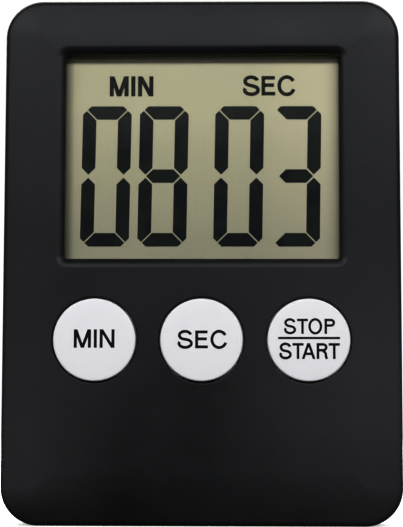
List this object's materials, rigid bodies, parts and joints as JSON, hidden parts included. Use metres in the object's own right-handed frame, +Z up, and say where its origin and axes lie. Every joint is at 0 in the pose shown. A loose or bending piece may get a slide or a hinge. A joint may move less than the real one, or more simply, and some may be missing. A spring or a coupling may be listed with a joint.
{
  "type": "kitchen timer",
  "caption": "Slab-shaped digital kitchen timer with a segment display, round push buttons, a fold-out stand, a back magnet and a coin-turned battery door.",
  "frame": {"origin": "centre of the bounding box's footprint, on the surface that the timer stands on", "axes": "+Z up along the timer's height, +X to the right seen from the front, the display faces -Y; stand folded flat"},
  "size_m": [0.065, 0.0116, 0.0862],
  "materials": {
    "case_plastic": "fine moulded texture, soft satin",
    "button_plastic": "smooth, semi-matt",
    "lens_plastic": "clear, polished",
    "polariser_film": "smooth film",
    "lcd_glass": "polished",
    "reflector_film": "satin grey-green reflector",
    "zebra_rubber": "striped soft rubber",
    "keypad_silicone": "matt silicone",
    "carbon_rubber": "matt",
    "board_laminate": "solder mask",
    "black_epoxy": "smooth epoxy",
    "ceramic": "sintered",
    "steel": "nickel plated",
    "battery_steel": "nickel plated, brushed",
    "contact_steel": "spring strip",
    "ferrite": "ground ferrite",
    "brass": "rolled sheet",
    "red_insulation": "PVC",
    "black_insulation": "PVC"
  },
  "bodies": {
    "case": {"front_shell": "case_plastic", "rear_cover": "case_plastic", "display_lens": "lens_plastic", "lcd_front_polariser": "polariser_film", "lcd_front_glass": "lcd_glass", "lcd_rear_glass": "lcd_glass", "lcd_reflector": "reflector_film", "zebra_strip": "zebra_rubber", "keypad_web": "keypad_silicone", "keypad_dome_min": "keypad_silicone", "keypad_dome_sec": "keypad_silicone", "keypad_dome_start_stop": "keypad_silicone", "circuit_board": "board_laminate", "chip_blob": "black_epoxy", "transistor": "black_epoxy", "resistor_1": "black_epoxy", "resistor_2": "black_epoxy", "resistor_3": "black_epoxy", "capacitor": "ceramic", "buzzer_ceramic": "ceramic", "crystal": "steel", "case_screw_1": "steel", "case_screw_2": "steel", "case_screw_3": "steel", "case_screw_4": "steel", "board_screw_1": "steel", "board_screw_2": "steel", "board_screw_3": "steel", "board_screw_4": "steel", "button_cell": "battery_steel", "battery_contact_positive": "contact_steel", "battery_contact_negative": "contact_steel", "magnet": "ferrite", "boost_coil": "ferrite", "buzzer_disc": "brass", "battery_wire_positive": "red_insulation", "buzzer_wire_live": "red_insulation", "battery_wire_negative": "black_insulation", "buzzer_wire_ground": "black_insulation"},
    "button_min": {"button_min": "button_plastic", "carbon_pill_min": "carbon_rubber"},
    "button_sec": {"button_sec": "button_plastic", "carbon_pill_sec": "carbon_rubber"},
    "button_start_stop": {"button_start_stop": "button_plastic", "carbon_pill_start_stop": "carbon_rubber"},
    "battery_door": {"battery_door": "case_plastic"},
    "stand": {"stand": "case_plastic"}
  },
  "joints": [
    {"name": "button_min_press", "type": "slide", "parent": "case", "child": "button_min", "axis": [0, 1, 0], "range_m": [0, 0.0007], "stiffness_N_per_m": 1000, "springref_m": -0.0002, "deforming": ["keypad_dome_min"]},
    {"name": "button_sec_press", "type": "slide", "parent": "case", "child": "button_sec", "axis": [0, 1, 0], "range_m": [0, 0.0007], "stiffness_N_per_m": 1000, "springref_m": -0.0002, "deforming": ["keypad_dome_sec"]},
    {"name": "button_start_stop_press", "type": "slide", "parent": "case", "child": "button_start_stop", "axis": [0, 1, 0], "range_m": [0, 0.0007], "stiffness_N_per_m": 1000, "springref_m": -0.0002, "deforming": ["keypad_dome_start_stop"]},
    {"name": "battery_door_turn", "type": "hinge", "parent": "case", "child": "battery_door", "pos_m": [0, 0.0051, 0.0145], "axis": [0, 1, 0], "range_deg": [0, 45]},
    {"name": "stand_fold", "type": "hinge", "parent": "case", "child": "stand", "pos_m": [0, 0.0046, 0.046], "axis": [1, 0, 0], "range_deg": [0, 55]}
  ]
}
